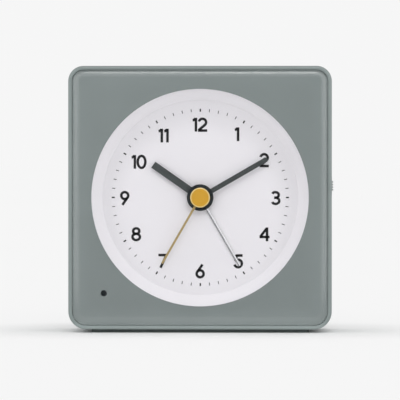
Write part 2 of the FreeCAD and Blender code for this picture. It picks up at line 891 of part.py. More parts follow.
def movement_cover():
    """Box over the wheels, with screw posts, bearing holes and seats for coil and board."""
    box = movement_plate_outline(0, plate_back, cover_back)
    box = box.cut(movement_plate_outline(cover_wall, plate_back - overrun, cover_inner))
    seat = cover_inner + pressed
    adds = [rod(x, z, pillar_radius, middle_back, seat) for x, z in pillar_spots()]
    adds += [rod(x, z, stator_boss_radius, stator_back(), seat) for x, z in stator_boss_spots()]
    adds += [rod(x, z, board_boss_radius, cover_inner - board_room, seat) for x, z in board_boss_spots()]
    box = joined(box, adds)
    for x, z in pillar_spots():
        box = box.cut(rod(x, z, movement_screw_radius + running, middle_back - overrun, cover_back + overrun))
    for side in (-1, 1):
        box = box.cut(rod(side * knob_distance, dial_z, knob_shaft_radius + running,
                          cover_inner - overrun, cover_back + overrun))
    for z in (dial_z, third_z, fifth_z, rotor_z):
        radius = arbor_radius if z == dial_z else pivot_radius
        box = box.cut(rod(0, z, radius + running, cover_inner - overrun, cover_inner + pivot_depth + running))
    return box


def movement_screws():
    screws = []
    for x, z in pillar_spots():
        shank = rod(x, z, movement_screw_radius, middle_front - movement_screw_grip + pressed, cover_back)
        head = rod(x, z, movement_screw_head, cover_back, cover_back + movement_screw_head_height)
        screws.append(shank.fuse(head))
    return Part.makeCompound(screws)


def stator_middle_y():
    return magnet_level + magnet_length / 2 - stator_thickness / 2 + pressed


def stator_back():
    return stator_middle_y() + stator_thickness / 2


def stator_boss_spots():
    return [(-stator_half_width + stator_boss_inset, rotor_z - stator_down + stator_boss_inset),
            (stator_half_width - stator_boss_inset, rotor_z + stator_up - stator_boss_inset)]


def core_z():
    return rotor_z - stator_down + stator_strip


def stator():
    """Iron plate round the rotor with a strip that comes back through the coil."""
    y_from = stator_back() - stator_thickness
    y_to = stator_back()
    top = rotor_z + stator_up
    bottom = core_z() - stator_strip / 2
    plate = block(-stator_half_width, stator_half_width, y_from, y_to, rotor_z - stator_down, top)
    strips = [
        block(-stator_reach, -stator_half_width, y_from, y_to, top - stator_strip, top),
        block(-stator_reach, -stator_reach + stator_strip, y_from, y_to, bottom, top - stator_strip),
        block(-stator_reach + stator_strip, -stator_half_width, y_from, y_to, bottom, bottom + stator_strip),
    ]
    plate = joined(plate, strips)
    return plate.cut(rod(0, rotor_z, stator_hole, y_from - overrun, y_to + overrun))


def coil_span():
    return (-stator_reach + stator_strip + bobbin_end_gap, -stator_half_width - bobbin_end_gap)


def around_core(grow, x_from, x_to):
    """A box round the coil's core, larger than the core by grow on every side."""
    middle = stator_middle_y()
    return block(x_from, x_to, middle - stator_thickness / 2 - grow, middle + stator_thickness / 2 + grow,
                 core_z() - stator_strip / 2 - grow, core_z() + stator_strip / 2 + grow)


def coil_bobbin():
    x_from, x_to = coil_span()
    barrel = around_core(pressed + bobbin_wall, x_from, x_to)
    ends = [around_core(bobbin_flange, x_from, x_from + bobbin_flange_thickness),
            around_core(bobbin_flange, x_to - bobbin_flange_thickness, x_to)]
    return joined(barrel, ends).cut(around_core(pressed, x_from - overrun, x_to + overrun))


def coil_winding():
    x_from, x_to = coil_span()
    x_from += bobbin_flange_thickness
    x_to -= bobbin_flange_thickness
    outer = around_core(bobbin_flange - winding_drop, x_from, x_to)
    outer = outer.makeFillet(bobbin_flange / 2, [e for e in outer.Edges if abs(e.tangentAt(0).x) > 0.5])
    return outer.cut(around_core(pressed + bobbin_wall, x_from - overrun, x_to + overrun))


def board_boss_spots():
    middle = (board_left + board_right) / 2
    low = dial_z - board_bottom - board_boss_inset
    return [(middle, dial_z - board_top - board_boss_inset), (middle, low + 2 * board_boss_inset)]


def movement_board():
    y_to = cover_inner - board_room
    return block(board_left, board_right, y_to - board_thickness, y_to, dial_z - board_bottom,
                 dial_z - board_top)


def driver_chip():
    y_to = cover_inner - board_room - board_thickness
    x = board_left + chip_size
    z = dial_z - (board_top + board_bottom) / 2
    return block(x - chip_size / 2, x + chip_size / 2, y_to - chip_thickness, y_to,
                 z - chip_size / 2, z + chip_size / 2)


def quartz_crystal():
    x = board_right - 2 * crystal_radius
    y = cover_inner - board_room - board_thickness - crystal_radius
    z = dial_z - (board_top + board_bottom + crystal_length) / 2
    return Part.makeCylinder(crystal_radius, crystal_length, spot(x, y, z), spot(0, 0, 1))


def hand_bush():
    return pipe(0, dial_z, bush_radius, alarm_pipe_radius + running, dial_front - nut_thickness, plate_back)


def bush_nut():
    """Thin round nut with two flats, on the bush in front of the dial."""
    front = dial_front - nut_thickness
    nut = pipe(0, dial_z, nut_radius, bush_radius + pressed, front, dial_front)
    reach = nut_radius - nut_flat_drop
    flats = block(-reach, reach, front, dial_front, dial_z - nut_radius - overrun,
                  dial_z + nut_radius + overrun)
    return nut.common(flats)


def hand(length, width, hub, bore, thickness, front, angle, round_end):
    """A hand that points up and is then turned clockwise to its angle."""
    half = width / 2
    end = dial_z + length
    blade = block(-half, half, front, front + thickness, dial_z, end - half if round_end else end)
    pieces = [rod(0, dial_z, hub, front, front + thickness)]
    if round_end:
        pieces.append(rod(0, end - half, half, front, front + thickness))
    shape = joined(blade, pieces)
    shape = shape.cut(rod(0, dial_z, bore, front - overrun, front + thickness + overrun))
    shape.rotate(spot(0, 0, dial_z), spot(0, 1, 0), angle)
    return shape


def alarm_hand():
    """The lowest hand. Its blade has thin edges and a ridge along the middle."""
    half = alarm_hand_width / 2
    back = alarm_hand_front + alarm_hand_thickness
    section = [(-half, back), (half, back), (half, back - alarm_hand_edge), (0, alarm_hand_front),
               (-half, back - alarm_hand_edge)]
    corners = [spot(x, y, dial_z) for x, y in section]
    blade = Part.Face(Part.makePolygon(corners + corners[:1])).extrude(spot(0, 0, alarm_hand_length))
    shape = joined(blade, [rod(0, dial_z, alarm_hand_hub, alarm_hand_front, back)])
    shape = shape.cut(rod(0, dial_z, alarm_pipe_radius + pressed, alarm_hand_front - overrun, back + overrun))
    shape.rotate(spot(0, 0, dial_z), spot(0, 1, 0), alarm_hand_angle)
    return shape


def hour_hand():
    return hand(hour_hand_length, hour_hand_width, hour_hand_hub, hour_pipe_radius + pressed,
                hour_hand_thickness, hour_hand_front, hour_hand_angle, False)


def minute_hand():
    return hand(minute_hand_length, minute_hand_width, minute_hand_hub, minute_tube_radius + pressed,
                minute_hand_thickness, minute_hand_front, minute_hand_angle, True)


def seconds_hand():
    return hand(seconds_hand_length, seconds_hand_width, seconds_hand_hub, arbor_radius + pressed,
                seconds_hand_thickness, seconds_hand_front, seconds_hand_angle, False)


def centre_cap():
    bore = arbor_radius + pressed
    return turned([
        (0, cap_front),
        (cap_radius - cap_bevel, cap_front),
        (cap_radius, cap_front + cap_bevel),
        (cap_radius, seconds_hand_front),
        (bore, seconds_hand_front),
        (bore, seconds_hand_front - cap_bore_depth),
        (0, seconds_hand_front - cap_bore_depth),
    ], 0, dial_z)


def seconds_arbor():
    return rod(0, dial_z, arbor_radius, seconds_hand_front - cap_bore_depth, cover_inner + pivot_depth)


def compound_wheel(z, wheel_teeth, wheel_module, wheel_turn, wheel_level, pinion_module, pinion_turn,
                   pinion_front):
    """A spoked wheel with a pinion in front of it."""
    wheel = gear(0, z, wheel_teeth, wheel_module, wheel_turn, wheel_level, wheel_level + wheel_thickness)
    wheel = spoked(wheel, 0, z, wheel_module * (wheel_teeth / 2 - root_share), wheel_level)
    pinion = gear(0, z, train_pinion_teeth, pinion_module, pinion_turn, pinion_front, wheel_level)
    return joined(wheel, [pinion])


def seconds_wheel():
    wheel = compound_wheel(dial_z, seconds_teeth,
                           module_for(fifth_distance, train_pinion_teeth, seconds_teeth),
                           gap_turn(seconds_teeth, -90), seconds_level,
                           module_for(third_distance, train_pinion_teeth, third_teeth), 90, third_level)
    return wheel.cut(rod(0, dial_z, arbor_radius + pressed, third_level - overrun, cover_back))


def third_wheel():
    wheel = compound_wheel(third_z, third_teeth,
                           module_for(third_distance, train_pinion_teeth, third_teeth),
                           gap_turn(third_teeth, -90), third_level,
                           module_for(third_distance, train_pinion_teeth, centre_teeth), -90, centre_level)
    arbor = rod(0, third_z, pivot_radius, middle_front, cover_inner + pivot_depth)
    return joined(wheel, [arbor])


def centre_wheel():
    module = module_for(third_distance, train_pinion_teeth, centre_teeth)
    wheel = gear(0, dial_z, centre_teeth, module, gap_turn(centre_teeth, 90), centre_level,
                 centre_level + wheel_thickness)
    wheel = spoked(wheel, 0, dial_z, module * (centre_teeth / 2 - root_share), centre_level)
    return wheel.cut(rod(0, dial_z, arbor_radius + running, centre_level - overrun, third_level))


def fifth_wheel():
    wheel = compound_wheel(fifth_z, fifth_teeth,
                           module_for(rotor_distance, train_pinion_teeth, fifth_teeth),
                           gap_turn(fifth_teeth, -90), fifth_level,
                           module_for(fifth_distance, train_pinion_teeth, seconds_teeth), 90, seconds_level)
    arbor = rod(0, fifth_z, pivot_radius, third_level, cover_inner + pivot_depth)
    return joined(wheel, [arbor])


def rotor_pinion():
    module = module_for(rotor_distance, train_pinion_teeth, fifth_teeth)
    pinion = gear(0, rotor_z, train_pinion_teeth, module, 90, fifth_level, magnet_level)
    arbor = rod(0, rotor_z, pivot_radius, third_level, cover_inner + pivot_depth)
    return joined(pinion, [arbor])


def rotor_magnet():
    return pipe(0, rotor_z, magnet_radius, pivot_radius + pressed, magnet_level, magnet_level + magnet_length)


def cannon_pinion():
    """Pinion on the tube that carries the minute hand."""
    module = module_for(knob_distance, cannon_teeth, motion_teeth)
    pinion = gear(0, dial_z, cannon_teeth, module, 0, motion_level, motion_level + wheel_thickness)
    tube = rod(0, dial_z, minute_tube_radius, minute_hand_front, centre_level - running)
    bore = rod(0, dial_z, arbor_radius + running, minute_hand_front - overrun, centre_level + overrun)
    return joined(pinion, [tube]).cut(bore)


def hour_wheel():
    """Wheel on the pipe that carries the hour hand."""
    module = module_for(knob_distance, motion_pinion_teeth, hour_teeth)
    wheel = gear(0, dial_z, hour_teeth, module, gap_turn(hour_teeth, 0), hour_level,
                 hour_level + wheel_thickness)
    wheel = spoked(wheel, 0, dial_z, module * (hour_teeth / 2 - root_share), hour_level)
    tube = rod(0, dial_z, hour_pipe_radius, hour_hand_front, hour_level)
    bore = rod(0, dial_z, minute_tube_radius + running, hour_hand_front - overrun, motion_level)
    return joined(wheel, [tube]).cut(bore)


def alarm_wheel():
    """Wheel on the pipe that carries the alarm hand."""
    module = module_for(knob_distance, alarm_pinion_teeth, alarm_teeth)
    wheel = gear(0, dial_z, alarm_teeth, module, gap_turn(alarm_teeth, 180), alarm_level,
                 alarm_level + wheel_thickness)
    tube = rod(0, dial_z, alarm_pipe_radius, alarm_hand_front, alarm_level)
    bore = rod(0, dial_z, hour_pipe_radius + running, alarm_hand_front - overrun, hour_level)
    return joined(wheel, [tube]).cut(bore)


def knob_shaft(x, front):
    """Shaft from its wheel back into the knob, with a thin pivot in the front plate."""
    shaft = rod(x, dial_z, knob_shaft_radius, front, knob_end_y - knob_bore_floor)
    return shaft.fuse(rod(x, dial_z, pivot_radius, plate_back - pivot_depth + running, front))


def motion_wheel():
    """Wheel and pinion that drive the minute tube and the hour wheel, on the time knob's shaft."""
    wheel = gear(knob_distance, dial_z, motion_teeth, module_for(knob_distance, cannon_teeth, motion_teeth),
                 gap_turn(motion_teeth, 180), motion_level, motion_level + wheel_thickness)
    pinion = gear(knob_distance, dial_z, motion_pinion_teeth,
                  module_for(knob_distance, motion_pinion_teeth, hour_teeth), 180, hour_level, motion_level)
    return joined(wheel, [pinion, knob_shaft(knob_distance, hour_level)])


def alarm_pinion():
    """Pinion that drives the alarm wheel, on the alarm knob's shaft."""
    pinion = gear(-knob_distance, dial_z, alarm_pinion_teeth,
                  module_for(knob_distance, alarm_pinion_teeth, alarm_teeth), 0,
                  alarm_level, alarm_level + wheel_thickness)
    return joined(pinion, [knob_shaft(-knob_distance, alarm_level)])


def set_knob(x):
    """Fluted knob with a bevelled crown and a blind bore for its shaft."""
    flat = knob_end_y - knob_crown
    grip = toothed(x, dial_z, knob_teeth, knob_radius - knob_tooth_depth, knob_radius,
                   knob_tooth_root_share, knob_tooth_tip_share, 0, knob_inner_y, flat)
    crown_radius = knob_radius - knob_tooth_depth
    crown = turned([(0, flat), (crown_radius, flat), (crown_radius, knob_end_y - knob_crown_bevel),
                    (crown_radius - knob_crown_bevel, knob_end_y), (0, knob_end_y)], x, dial_z)
    bore = rod(x, dial_z, knob_shaft_radius + pressed, knob_inner_y - overrun, knob_end_y - knob_bore_floor)
    return joined(grip, [crown]).cut(bore)


def snooze_bar():
    """Bar with a rounded upper edge, a flange that holds it in and a stem over the switch."""
    cap = snooze_prism(0, snooze_bottom, snooze_top)
    edges = [e for e in cap.Edges if all(abs(v.Z - snooze_top) < pressed for v in e.Vertexes)]
    cap = cap.makeFillet(snooze_edge, edges)
    flange_low = snooze_bottom - snooze_flange_drop
    flange = snooze_prism(snooze_flange, flange_low, flange_low + snooze_flange_thickness)
    stem = Part.makeCylinder(snooze_stem_radius, snooze_stem_length, spot(0, snooze_y, stem_end))
    return joined(cap, [flange, stem])


def snooze_switch():
    """Small push switch on the board under the bar."""
    half = switch_size / 2
    top = main_board_top + switch_height
    body = block(-half, half, snooze_y - half, snooze_y + half, main_board_top, top)
    plunger = Part.makeCylinder(plunger_radius, plunger_height, spot(0, snooze_y, top))
    return body.fuse(plunger)


def circuit_board():
    half = main_board_length / 2
    return block(-half, half, snooze_y - main_board_width / 2, snooze_y + main_board_width / 2,
                 main_board_top - main_board_thickness, main_board_top)


def speaker():
    return rod(0, speaker_z, speaker_radius, back_inner - speaker_thickness, back_inner)


def alarm_switch():
    """Slider in the right wall with four ribs, and a flange that holds it in."""
    z = dial_z + slider_lift
    face = case_width / 2 + slider_stand
    inner = face - slider_thickness
    body = side_plate(0, inner, face, z - slider_height / 2, z + slider_height / 2)
    flange = side_plate(slider_flange, inner - slider_flange_thickness, inner, z - slider_height / 2,
                        z + slider_height / 2)
    ribs = []
    for number in range(rib_count):
        rib_z = z + (number - (rib_count - 1) / 2) * rib_pitch
        ribs.append(block(face, face + rib_height, slider_y - slider_width / 2, slider_y + slider_width / 2,
                          rib_z - rib_width / 2, rib_z + rib_width / 2))
    return joined(body, [flange] + ribs)


def alarm_switch_base():
    """Contact block behind the slider, held off the wall by two legs."""
    middle = dial_z + slider_lift - slider_travel / 2
    half = slider_base_height / 2
    face = case_width / 2 + slider_stand - slider_thickness - slider_flange_thickness - loose
    y_from = slider_y - slider_base_width / 2
    y_to = slider_y + slider_base_width / 2
    base = block(face - slider_base_thickness, face, y_from, y_to, middle - half, middle + half)
    reach = wall_x(y_to) - wall - slider_wall_gap
    legs = [block(face, reach, y_from, y_to, z, z + slider_base_leg)
            for z in (middle - half, middle + half - slider_base_leg)]
    return joined(base, legs)


nodes = {
    "front_frame": front_frame,
    "front_lens": front_lens,
    "face_mask": face_mask,
    "dial_ring": dial_ring,
    "dial": dial,
    "light_sensor": light_sensor,
    "dial_lamps": dial_lamps,
    "rear_case": rear_case,
    "case_screws": case_screws,
    "rubber_feet": rubber_feet,
    "battery": battery,
    "positive_contact": positive_contact,
    "negative_contact": negative_contact,
    "battery_door": battery_door,
    "movement_front_plate": movement_front_plate,
    "movement_middle_plate": movement_middle_plate,
    "train_bridge": train_bridge,
    "movement_cover": movement_cover,
    "movement_screws": movement_screws,
    "stator": stator,
    "coil_bobbin": coil_bobbin,
    "coil_winding": coil_winding,
    "movement_board": movement_board,
    "driver_chip": driver_chip,
    "quartz_crystal": quartz_crystal,
    "hand_bush": hand_bush,
    "bush_nut": bush_nut,
    "alarm_hand": alarm_hand,
    "hour_hand": hour_hand,
    "minute_hand": minute_hand,
    "seconds_hand": seconds_hand,
    "centre_cap": centre_cap,
    "seconds_arbor": seconds_arbor,
    "seconds_wheel": seconds_wheel,
    "third_wheel": third_wheel,
    "centre_wheel": centre_wheel,
    "fifth_wheel": fifth_wheel,
    "rotor_pinion": rotor_pinion,
    "rotor_magnet": rotor_magnet,
    "cannon_pinion": cannon_pinion,
    "hour_wheel": hour_wheel,
    "alarm_wheel": alarm_wheel,
    "motion_wheel": motion_wheel,
    "alarm_pinion": alarm_pinion,
    "time_set_knob": lambda: set_knob(knob_distance),
    "alarm_set_knob": lambda: set_knob(-knob_distance),
    "snooze_bar": snooze_bar,
    "snooze_switch": snooze_switch,
    "circuit_board": circuit_board,
    "speaker": speaker,
    "alarm_switch": alarm_switch,
    "alarm_switch_base": alarm_switch_base,
}

os.makedirs("parts", exist_ok=True)
for node, make in nodes.items():
    shape = make()
    if not shape.isValid() or shape.Volume <= 0:
        raise ValueError("bad solid: " + node)
    shape.exportStep("parts/" + node + ".step")
    print(node, len(shape.Solids), round(shape.Volume, 2))
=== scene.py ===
import json
import math

import bmesh
import bpy
from mathutils import Matrix, Vector

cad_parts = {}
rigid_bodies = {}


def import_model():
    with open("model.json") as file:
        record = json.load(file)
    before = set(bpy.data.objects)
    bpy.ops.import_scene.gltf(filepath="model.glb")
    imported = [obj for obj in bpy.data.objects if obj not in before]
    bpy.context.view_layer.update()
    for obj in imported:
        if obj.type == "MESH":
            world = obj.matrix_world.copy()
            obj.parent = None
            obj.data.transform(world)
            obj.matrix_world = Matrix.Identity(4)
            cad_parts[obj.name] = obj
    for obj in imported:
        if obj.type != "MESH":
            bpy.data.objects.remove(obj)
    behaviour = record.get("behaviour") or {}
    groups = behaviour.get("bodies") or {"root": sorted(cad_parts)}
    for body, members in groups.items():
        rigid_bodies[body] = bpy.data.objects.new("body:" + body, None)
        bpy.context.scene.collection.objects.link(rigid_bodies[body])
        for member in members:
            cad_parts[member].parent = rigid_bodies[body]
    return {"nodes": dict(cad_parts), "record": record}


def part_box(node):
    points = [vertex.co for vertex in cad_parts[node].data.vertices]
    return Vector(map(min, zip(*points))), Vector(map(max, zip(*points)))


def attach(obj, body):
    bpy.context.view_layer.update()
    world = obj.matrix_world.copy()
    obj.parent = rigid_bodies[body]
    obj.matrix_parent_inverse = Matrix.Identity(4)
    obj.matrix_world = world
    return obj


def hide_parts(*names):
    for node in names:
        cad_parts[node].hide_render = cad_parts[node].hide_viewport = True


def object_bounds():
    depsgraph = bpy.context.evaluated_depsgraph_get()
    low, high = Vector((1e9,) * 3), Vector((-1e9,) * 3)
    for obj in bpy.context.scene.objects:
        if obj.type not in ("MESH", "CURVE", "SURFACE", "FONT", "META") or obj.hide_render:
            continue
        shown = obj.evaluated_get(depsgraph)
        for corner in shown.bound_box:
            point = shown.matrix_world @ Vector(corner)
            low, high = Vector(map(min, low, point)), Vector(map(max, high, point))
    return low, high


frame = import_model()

cad_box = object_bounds()
nodes = frame["nodes"]
slots = {part["node"]: part["material_slot"] for part in frame["record"]["subparts"]}

MM = 0.001
MICRON = 0.000001

dial_low, dial_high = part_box("dial")
dial_face = dial_low.y
dial_axis = (dial_low + dial_high) / 2


# Shader nodes. The owner is a finish or the world.

def add_node(owner, kind, **settings):
    """A new node with its settings."""
    added = owner.node_tree.nodes.new(kind)
    for name, value in settings.items():
        setattr(added, name, value)
    return added


def node_of(owner, kind):
    """The node of a kind that the owner has once."""
    return next(node for node in owner.node_tree.nodes if node.type == kind)


def link(owner, source, target):
    owner.node_tree.links.new(source, target)


def feed(owner, value, socket):
    """Gives a socket another socket's value or a plain one."""
    if isinstance(value, bpy.types.NodeSocket):
        link(owner, value, socket)
    else:
        socket.default_value = value


def grey(value):
    return (value, value, value)


def colour_sockets(sockets):
    return [socket for socket in sockets if socket.type == "RGBA"]


def object_place(owner):
    return add_node(owner, "ShaderNodeTexCoord").outputs["Object"]


def mapped(owner, place, scale, location=(0, 0, 0)):
    """The place scaled along each axis, then moved."""
    mapping = add_node(owner, "ShaderNodeMapping")
    mapping.inputs["Scale"].default_value = scale
    mapping.inputs["Location"].default_value = location
    link(owner, place, mapping.inputs["Vector"])
    return mapping.outputs["Vector"]


def part_along(owner, vector, axis):
    """The X, Y or Z part of a vector."""
    parts = add_node(owner, "ShaderNodeSeparateXYZ")
    link(owner, vector, parts.inputs["Vector"])
    return parts.outputs[axis]


def vector_step(owner, operation, vector, amount=None):
    """One step of reckoning with a vector. Its length comes out as a number."""
    step = add_node(owner, "ShaderNodeVectorMath", operation=operation)
    link(owner, vector, step.inputs[0])
    if amount is not None:
        step.inputs[1].default_value = amount
    return step.outputs["Value" if operation == "LENGTH" else "Vector"]


def number_step(owner, operation, first, second):
    """One step of reckoning with two numbers."""
    step = add_node(owner, "ShaderNodeMath", operation=operation)
    link(owner, first, step.inputs[0])
    link(owner, second, step.inputs[1])
    return step.outputs["Value"]


def way_between(owner, value, start, end, at_start=0.0, at_end=1.0, eased=True):
    """How far a value is on its way from start to end, held there past either. Eased, the way
    sets in and runs out softly."""
    way = add_node(owner, "ShaderNodeMapRange",
                   interpolation_type="SMOOTHSTEP" if eased else "LINEAR")
    way.inputs["From Min"].default_value = start
    way.inputs["From Max"].default_value = end
    way.inputs["To Min"].default_value = at_start
    way.inputs["To Max"].default_value = at_end
    link(owner, value, way.inputs["Value"])
    return way.outputs["Result"]


def colour_steps(owner, value, steps, interpolation="LINEAR"):
    """Colours, or greys, laid along a value, each at its position."""
    laid = add_node(owner, "ShaderNodeValToRGB")
    laid.color_ramp.interpolation = interpolation
    elements = laid.color_ramp.elements
    while len(elements) < len(steps):
        elements.new(0.5)
    for element, (position, tone) in zip(elements, steps):
        element.position = position
        element.color = (*(tone if isinstance(tone, tuple) else grey(tone)), 1)
    link(owner, value, laid.inputs["Fac"])
    return laid.outputs["Color"]


def ramp(owner, value, low, high, at_low=0.35, at_high=0.65):
    """Two colours, or two greys, blended by the value."""
    return colour_steps(owner, value, ((at_low, low), (at_high, high)))


def blended(owner, share, inner, outer, how="MIX"):
    """Two colours mixed by the share. Each of the three is a plain value or a socket."""
    blend = add_node(owner, "ShaderNodeMix", data_type="RGBA", blend_type=how)
    feed(owner, share, blend.inputs["Factor"])
    for socket, tone in zip(colour_sockets(blend.inputs), (inner, outer)):
        feed(owner, (*tone, 1) if isinstance(tone, tuple) else tone, socket)
    return colour_sockets(blend.outputs)[0]


def chosen(owner, share, first, second):
    """The first shader, with the second one instead by the share."""
    choice = add_node(owner, "ShaderNodeMixShader")
    for socket, source in zip(choice.inputs, (share, first, second)):
        link(owner, source, socket)
    return choice.outputs["Shader"]


# Helpers for the finishes. The cells are those of the noise, per metre.

DRIFT_CELLS = 45.0
SHINE_CELLS = 320.0


def new_finish(name):
    finish = bpy.data.materials.new(name)
    finish.use_nodes = True
    finish.node_tree.nodes.clear()
    output = add_node(finish, "ShaderNodeOutputMaterial")
    surface = add_node(finish, "ShaderNodeBsdfPrincipled")
    link(finish, surface.outputs["BSDF"], output.inputs["Surface"])
    return finish, surface


def show(finish, shader):
    """Makes the finish show this shader."""
    link(finish, shader, node_of(finish, "OUTPUT_MATERIAL").inputs["Surface"])


def noise(finish, scale, detail=4.0, roughness=0.5, squeeze=None):
    """Noise over the piece's own place, in cells per metre. The squeeze packs it that many times
    closer along each axis."""
    texture = add_node(finish, "ShaderNodeTexNoise")
    texture.inputs["Scale"].default_value = scale
    texture.inputs["Detail"].default_value = detail
    texture.inputs["Roughness"].default_value = roughness
    place = object_place(finish)
    link(finish, mapped(finish, place, squeeze) if squeeze else place, texture.inputs["Vector"])
    return texture.outputs["Fac"]


def waves(finish, place, scale, distortion, **settings):
    """Bands or rings side by side, by the settings."""
    texture = add_node(finish, "ShaderNodeTexWave", **settings)
    texture.inputs["Scale"].default_value = scale
    texture.inputs["Distortion"].default_value = distortion
    link(finish, place, texture.inputs["Vector"])
    return texture.outputs["Fac"]


def bump(finish, surface, height, depth):
    """Relief of the given depth in metres."""
    relief = add_node(finish, "ShaderNodeBump")
    relief.inputs["Strength"].default_value = 1.0
    relief.inputs["Distance"].default_value = depth
    link(finish, height, relief.inputs["Height"])
    link(finish, relief.outputs["Normal"], surface.inputs["Normal"])


def shade(tone, by):
    """The tone, darker or paler by a factor."""
    return tuple(min(1.0, channel * by) for channel in tone)


def centred_place(finish, drop=0.0):
    """The place across the dial's axis, or across a line that far below it."""
    return mapped(finish, object_place(finish), (1, 0, 1), (-dial_axis.x, 0, drop - dial_axis.z))


def from_the_axis(finish, start, end, drop=0.0):
    """0 inside the start radius round the dial's axis, or round a line that far below it, rising
    to 1 at the end radius."""
    reach = vector_step(finish, "LENGTH", centred_place(finish, drop))
    return way_between(finish, reach, start, end)


def base_colour(finish):
    return node_of(finish, "BSDF_PRINCIPLED").inputs["Base Color"]


def toned(finish, factor):
    """Multiplies the finish's colour by a factor."""
    colour = base_colour(finish)
    link(finish, blended(finish, 1.0, colour.links[0].from_socket, factor, "MULTIPLY"), colour)
    return finish


def moulded(name, tone, rough, grain=2600.0, depth=6 * MICRON, drift=0.03, spread=0.06):
    """Moulded plastic: fine grain in the relief, faint drift in the colour, uneven shine."""
    finish, surface = new_finish(name)
    drifted = ramp(finish, noise(finish, DRIFT_CELLS),
                   shade(tone, 1 - drift), shade(tone, 1 + drift))
    link(finish, drifted, surface.inputs["Base Color"])
    shine = ramp(finish, noise(finish, SHINE_CELLS),
                 max(0.02, rough - spread), min(1.0, rough + spread))
    link(finish, shine, surface.inputs["Roughness"])
    bump(finish, surface, noise(finish, grain, detail=2.0), depth)
    surface.inputs["IOR"].default_value = 1.46
    return finish


def painted(name, tone, rough, drift=0.02):
    """Sprayed paint: nearly even, with a very fine orange peel."""
    return moulded(name, tone, rough, grain=1500.0, depth=2 * MICRON, drift=drift, spread=0.03)


def metal(name, tone, rough, squeeze, depth=2 * MICRON, spread=0.08):
    """Metal with fine marks that run across the squeezed axis."""
    finish, surface = new_finish(name)
    marks = noise(finish, 1400.0, detail=3.0, roughness=0.6, squeeze=squeeze)
    link(finish, ramp(finish, marks, shade(tone, 0.9), shade(tone, 1.05)),
         surface.inputs["Base Color"])
    link(finish, ramp(finish, marks, max(0.05, rough - spread), rough + spread),
         surface.inputs["Roughness"])
    surface.inputs["Metallic"].default_value = 1.0
    bump(finish, surface, marks, depth)
    return finish


# The finishes

def sage_frame():
    """Moulded sage plastic of the front frame, with a painted highlight along its lower rim, as of
    light from the table, and painted shade along its upper one."""
    finish = moulded("sage_frame", (0.215, 0.252, 0.247), 0.34, depth=2 * MICRON)
    low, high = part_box("front_frame")
    height = part_along(finish, object_place(finish), "Z")
    # Painted highlight on the lower rim and painted shade on the upper rim, standing in for light
    # from below
    lower_rim_highlight = way_between(finish, height, low.z + 3 * MM, low.z + 0.5 * MM)
    upper_rim_shade = way_between(finish, height, high.z - 2.5 * MM, high.z - 0.5 * MM)
    factor = blended(finish, lower_rim_highlight, grey(1.0), grey(1.3))
    return toned(finish, blended(finish, upper_rim_shade, factor, grey(0.9)))


def sage_face():
    """Sage paint behind the clear front, with painted shade that makes it a little deeper low down
    and a painted highlight that makes it paler along the rolled edge.
    """
    finish = painted("sage_face", (0.212, 0.247, 0.243), 0.55)
    off_axis = vector_step(finish, "SUBTRACT", object_place(finish), (dial_axis.x, 0, dial_axis.z))
    # Painted shade: the paint grows deeper towards the bottom.
    rise = way_between(finish, part_along(finish, off_axis, "Z"), -40 * MM, 40 * MM, eased=False)
    middle = blended(finish, rise, grey(0.9), grey(0.945))
    reach = vector_step(finish, "ABSOLUTE", off_axis)
    farther = number_step(finish, "MAXIMUM",
                          part_along(finish, reach, "X"), part_along(finish, reach, "Z"))
    # Painted highlight along the rolled edge of the clear front.
    painted_edge_highlight = way_between(finish, farther, 37.5 * MM, 46.5 * MM)
    return toned(finish, blended(finish, painted_edge_highlight, middle, grey(1.03)))


def clear_front():
    """Clear plastic, polished over the dial and softer in its shine towards the rolled edge.
    Light from the lamps and from dull surfaces passes straight through."""
    finish, surface = new_finish("clear_front")
    tint = ramp(finish, noise(finish, 30.0), (0.982, 0.98, 0.984), (0.99, 0.988, 0.992))
    link(finish, tint, surface.inputs["Base Color"])
    cells = noise(finish, 60.0)
    polished, softer = ramp(finish, cells, 0.01, 0.03), ramp(finish, cells, 0.12, 0.15)
    towards_edge = from_the_axis(finish, 40 * MM, 44 * MM)
    link(finish, blended(finish, towards_edge, polished, softer), surface.inputs["Roughness"])
    surface.inputs["Transmission Weight"].default_value = 1.0
    surface.inputs["IOR"].default_value = 1.49
    through = add_node(finish, "ShaderNodeBsdfTransparent")
    through.inputs["Color"].default_value = (0.965, 0.963, 0.966, 1)
    paths = add_node(finish, "ShaderNodeLightPath")
    seen = surface.outputs["BSDF"]
    for kind in ("Is Diffuse Ray", "Is Shadow Ray"):
        seen = chosen(finish, paths.outputs[kind], seen, through.outputs["BSDF"])
    show(finish, seen)
    return finish


def white_ring():
    """White plastic of the sloped ring, made a touch paler towards its top by painted light."""
    finish = moulded("white_ring", (0.885, 0.872, 0.899), 0.6, depth=3 * MICRON, drift=0.01)
    # Painted light: the ring's top, which faces down and gets less light, is lightened.
    painted_shading = from_the_axis(finish, 38 * MM, 45 * MM, drop=6 * MM)
    return toned(finish, blended(finish, painted_shading, grey(1.0), grey(1.065)))


def white_dial():
    """White paint on the dial, with a faint painted shade towards its edge, as of the ring's
    shadow, that reaches further in at the top."""
    finish = painted("white_dial", (0.865, 0.852, 0.88), 0.75, drift=0.008)
    # Painted shade towards the dial's edge, standing in for the ring wall's shadow.
    painted_shading = from_the_axis(finish, 26 * MM, 36 * MM, drop=5 * MM)
    return toned(finish, blended(finish, painted_shading, grey(1.0), grey(0.9)))


def slate_hand():
    """Slate paint on the hands, nearly black on the round boss in the middle."""
    finish = painted("slate_hand", (0.05, 0.06, 0.06), 0.42)
    boss_tone = (0.013, 0.019, 0.023)
    colour = base_colour(finish)
    arm_tone = colour.links[0].from_socket
    off_boss = from_the_axis(finish, 4.75 * MM, 4.95 * MM)
    link(finish, blended(finish, off_boss, boss_tone, arm_tone), colour)
    return finish


